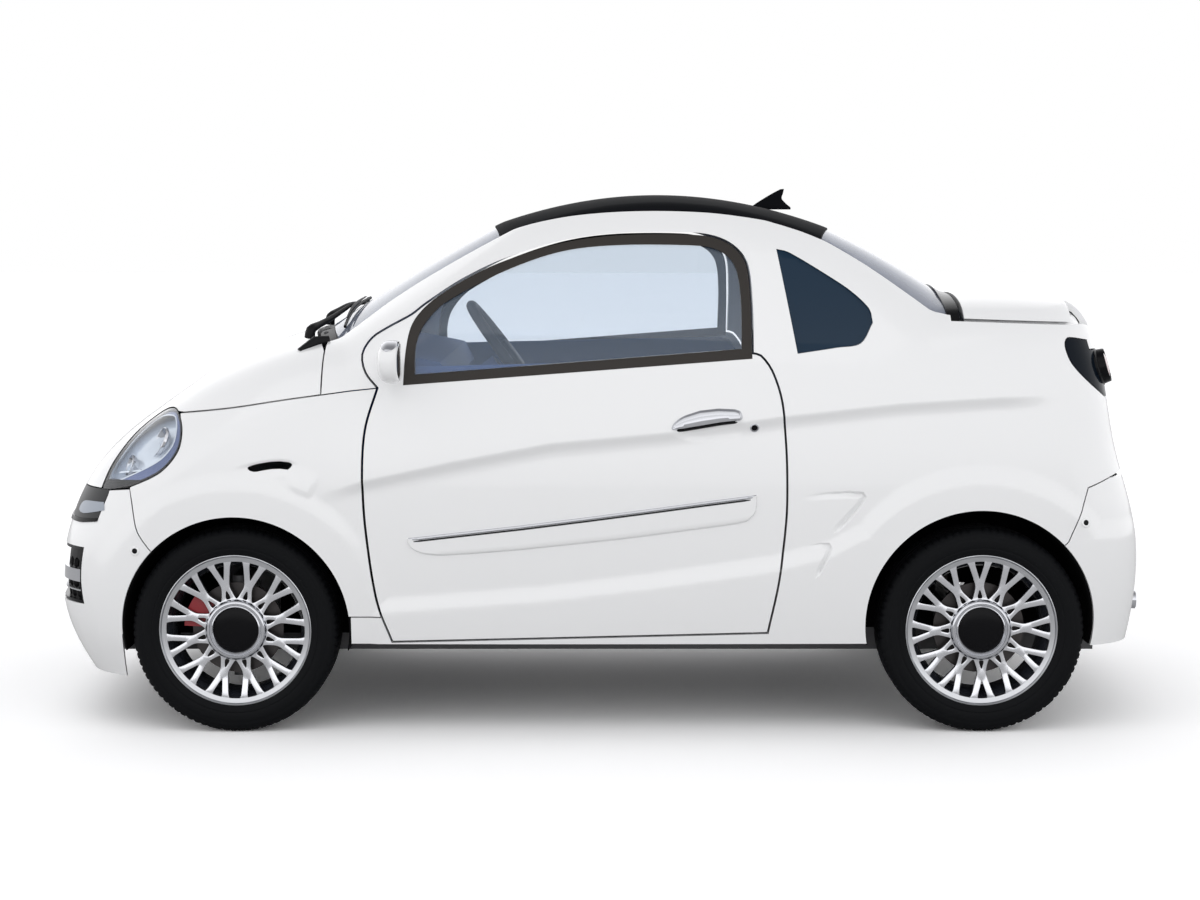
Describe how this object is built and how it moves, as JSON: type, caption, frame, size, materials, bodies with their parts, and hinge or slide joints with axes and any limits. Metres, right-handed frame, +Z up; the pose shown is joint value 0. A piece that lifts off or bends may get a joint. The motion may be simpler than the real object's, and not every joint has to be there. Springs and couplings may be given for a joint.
{
  "type": "microcar",
  "caption": "Small two-seat town car with opening doors, bonnet and boot lid, steering front wheels and rolling wheels.",
  "frame": {"origin": "on the ground, midway along the car, on its middle plane", "axes": "+X to the rear, +Y to the car's right, +Z up"},
  "size_m": [2.9982, 1.75, 1.457],
  "materials": {
    "body_white": "glossy moulded panel in white",
    "roof_black": "satin black roof skin",
    "black_trim": "grained black plastic",
    "clear_glass": "blue-tinted safety glass",
    "privacy_glass": "deep blue rear side glass",
    "lens_clear": "clear lamp lens",
    "lens_dark": "smoked lamp lens",
    "lamp_silver": "bright lamp housing",
    "frame_steel": "black-painted steel",
    "engine_cast": "cast and painted",
    "interior_grey": "grained interior moulding",
    "seat_cloth": "woven seat cloth",
    "alloy": "machined alloy",
    "tyre_rubber": "black tyre rubber",
    "caliper_red": "red-painted casting",
    "bright": "polished"
  },
  "bodies": {
    "body": {"chassis_frame": "frame_steel", "floor_pan": "frame_steel", "bulkhead": "frame_steel", "door_posts": "frame_steel", "side_frames": "body_white", "roof_panel": "roof_black", "roof_fin": "roof_black", "windscreen": "clear_glass", "rear_window": "clear_glass", "rear_cowl": "black_trim", "quarter_glass": "privacy_glass", "cowl": "black_trim", "fenders": "body_white", "front_bumper": "body_white", "nose_band": "black_trim", "front_grille": "black_trim", "headlamps": "lamp_silver", "headlamp_lenses": "lens_clear", "rear_bumper": "body_white", "rear_panel": "frame_steel", "tail_lamps": "lens_dark", "arch_liners": "black_trim", "engine": "engine_cast", "dashboard": "interior_grey", "steering_column": "interior_grey", "seats": "seat_cloth", "front_suspension": "frame_steel", "rear_axle": "frame_steel", "exhaust": "bright"},
    "door_left": {"door_left": "body_white", "door_glass_left": "clear_glass", "door_hinges_left": "frame_steel", "mirror_left": "body_white", "door_trim_left": "body_white"},
    "door_right": {"door_right": "body_white", "door_glass_right": "clear_glass", "door_hinges_right": "frame_steel", "mirror_right": "body_white", "door_trim_right": "body_white"},
    "bonnet": {"bonnet": "body_white"},
    "boot_lid": {"boot_lid": "body_white"},
    "steering_wheel": {"steering_wheel": "interior_grey"},
    "knuckle_left": {"knuckle_left": "engine_cast", "caliper_left": "caliper_red"},
    "knuckle_right": {"knuckle_right": "engine_cast", "caliper_right": "caliper_red"},
    "wheel_front_left": {"rim_front_left": "alloy", "tyre_front_left": "tyre_rubber"},
    "wheel_front_right": {"rim_front_right": "alloy", "tyre_front_right": "tyre_rubber"},
    "wheel_rear_left": {"rim_rear_left": "alloy", "tyre_rear_left": "tyre_rubber"},
    "wheel_rear_right": {"rim_rear_right": "alloy", "tyre_rear_right": "tyre_rubber"}
  },
  "joints": [
    {"name": "steer_left", "type": "hinge", "parent": "body", "child": "knuckle_left", "pos_m": [-0.974, -0.618, 0.275], "axis": [0, 0, 1], "range_deg": [-30, 30]},
    {"name": "steer_right", "type": "hinge", "parent": "body", "child": "knuckle_right", "pos_m": [-0.974, 0.618, 0.275], "axis": [0, 0, 1], "range_deg": [-30, 30]},
    {"name": "steering_wheel_turn", "type": "hinge", "parent": "body", "child": "steering_wheel", "pos_m": [-0.254, -0.32, 0.986], "axis": [-0.8039, 0, -0.5948], "range_deg": [-360, 360]},
    {"name": "spin_front_left", "type": "hinge", "parent": "knuckle_left", "child": "wheel_front_left", "pos_m": [-0.974, -0.642, 0.275], "axis": [0, 1, 0], "continuous": true},
    {"name": "spin_front_right", "type": "hinge", "parent": "knuckle_right", "child": "wheel_front_right", "pos_m": [-0.974, 0.642, 0.275], "axis": [0, 1, 0], "continuous": true},
    {"name": "spin_rear_left", "type": "hinge", "parent": "body", "child": "wheel_rear_left", "pos_m": [1.019, -0.642, 0.275], "axis": [0, 1, 0], "continuous": true},
    {"name": "spin_rear_right", "type": "hinge", "parent": "body", "child": "wheel_rear_right", "pos_m": [1.019, 0.642, 0.275], "axis": [0, 1, 0], "continuous": true},
    {"name": "door_left_swing", "type": "hinge", "parent": "body", "child": "door_left", "pos_m": [-0.7, -0.728, 0.565], "axis": [0, 0, -1], "range_deg": [0, 48]},
    {"name": "door_right_swing", "type": "hinge", "parent": "body", "child": "door_right", "pos_m": [-0.7, 0.728, 0.565], "axis": [0, 0, 1], "range_deg": [0, 48]},
    {"name": "bonnet_lift", "type": "hinge", "parent": "body", "child": "bonnet", "pos_m": [-0.775, 0, 1.045], "axis": [0, 1, 0], "range_deg": [0, 52]},
    {"name": "boot_lid_lift", "type": "hinge", "parent": "body", "child": "boot_lid", "pos_m": [0.968, 0, 1.154], "axis": [0, -1, 0], "range_deg": [0, 52]}
  ],
  "couplings": [
    {"joint": "steer_right", "follows": "steer_left", "ratio": 1},
    {"joint": "steering_wheel_turn", "follows": "steer_left", "ratio": 12}
  ]
}
